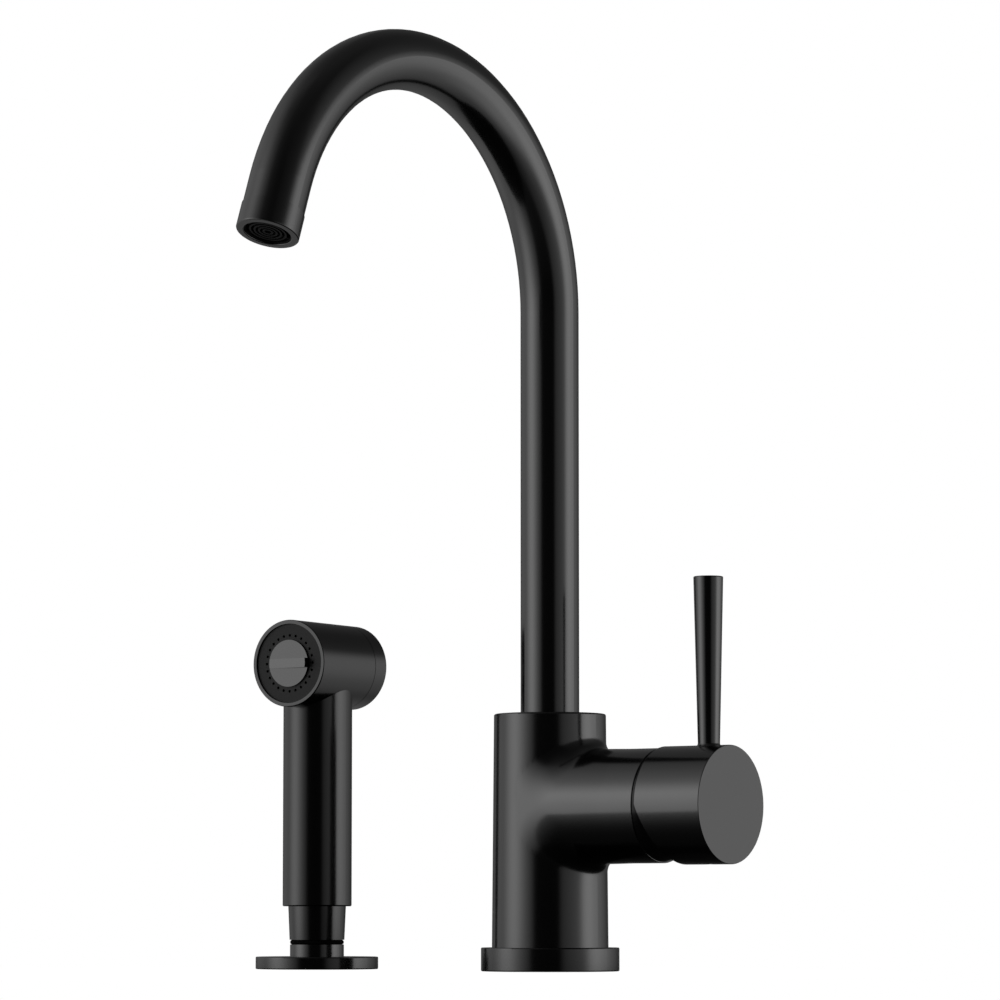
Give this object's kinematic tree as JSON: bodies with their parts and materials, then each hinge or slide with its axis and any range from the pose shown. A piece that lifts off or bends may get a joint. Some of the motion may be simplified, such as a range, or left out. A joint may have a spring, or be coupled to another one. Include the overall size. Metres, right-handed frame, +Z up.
{
  "type": "side spray kitchen faucet",
  "caption": "Single-lever kitchen mixer with a swivelling gooseneck spout and a side lever arm, beside a lift-off hand spray with a push button, standing in a round deck holder.",
  "frame": {"origin": "centre of the mixer's base ring, on the deck, on the axis of the spray hose thread", "axes": "+Z up, the spout reaches towards -Y, the lever arm points to +X, the hand spray stands on the -X side"},
  "size_m": [0.2356, 0.2254, 0.3729],
  "materials": {
    "satin_black": "satin black coating on metal",
    "black_face": "matt black moulding",
    "black_rubber": "black rubber",
    "brass": "machined brass",
    "steel": "plain steel",
    "white_plastic": "white engineering plastic",
    "ceramic": "polished white ceramic"
  },
  "bodies": {
    "deck_set": {"mixer_body": "satin_black", "base_ring": "satin_black", "base_gasket": "black_rubber", "spout_stop_screw": "steel", "diverter_sleeve": "white_plastic", "diverter_ring": "black_rubber", "cartridge_base": "white_plastic", "port_seals": "black_rubber", "fixed_disc": "ceramic", "cartridge_housing": "white_plastic", "retaining_nut": "brass", "dome_cover": "satin_black", "holder_flange": "satin_black", "holder_gasket": "black_rubber", "seat_ring": "black_rubber"},
    "spout": {"spout_tube": "satin_black", "spout_nipple": "brass", "nipple_orings": "black_rubber", "aerator_sleeve": "satin_black", "aerator_screen": "black_face", "aerator_core": "white_plastic", "aerator_washer": "black_rubber"},
    "poppet": {"poppet_stem": "white_plastic", "poppet_disc": "black_rubber"},
    "cartridge_turret": {"turret": "white_plastic", "pivot_pin": "steel"},
    "disc_slide": {"moving_disc": "ceramic", "disc_carrier": "white_plastic"},
    "handle": {"lever_stem": "steel", "handle_cap": "satin_black", "lever_rod": "satin_black", "handle_screw": "steel"},
    "holder_bush": {"guide_bush": "white_plastic"},
    "hand_spray": {"cone_nut": "satin_black", "hose_washer": "black_rubber", "spray_adaptor": "brass", "check_valve": "white_plastic", "water_tube": "white_plastic", "spray_grip": "satin_black", "spray_head": "satin_black", "back_cap": "satin_black", "spray_face": "black_face", "face_gasket": "black_rubber", "centre_disc": "satin_black", "valve_body": "brass"},
    "button": {"button_stem": "brass", "valve_seal": "black_rubber", "spray_button": "satin_black", "button_spring": "steel"}
  },
  "joints": [
    {"name": "spout_swivel", "type": "hinge", "parent": "deck_set", "child": "spout", "pos_m": [0, 0, 0.09], "axis": [0, 0, 1], "range_deg": [-60, 60]},
    {"name": "temperature_turn", "type": "hinge", "parent": "deck_set", "child": "cartridge_turret", "pos_m": [0.051, 0, 0.0665], "axis": [1, 0, 0], "range_deg": [-45, 45]},
    {"name": "flow_tilt", "type": "hinge", "parent": "cartridge_turret", "child": "handle", "pos_m": [0.051, 0, 0.0665], "axis": [0, 1, 0], "range_deg": [0, 25]},
    {"name": "disc_shift", "type": "slide", "parent": "cartridge_turret", "child": "disc_slide", "axis": [0, 0, 1], "range_m": [0, 0.0043]},
    {"name": "poppet_lift", "type": "slide", "parent": "deck_set", "child": "poppet", "axis": [0, 0, 1], "range_m": [0, 0.0024]},
    {"name": "spray_turn", "type": "hinge", "parent": "deck_set", "child": "holder_bush", "pos_m": [-0.1213, 0, 0.006], "axis": [0, 0, 1], "range_deg": [-180, 180]},
    {"name": "spray_lift", "type": "slide", "parent": "holder_bush", "child": "hand_spray", "axis": [0, 0, 1], "range_m": [0, 0.12]},
    {"name": "button_press", "type": "slide", "parent": "hand_spray", "child": "button", "axis": [0.0576, -0.9983, 0], "range_m": [0, 0.003], "stiffness_N_per_m": 900, "springref_m": -0.006}
  ],
  "couplings": [
    {"joint": "disc_shift", "follows": "flow_tilt", "m_per_rad": 0.00983}
  ]
}
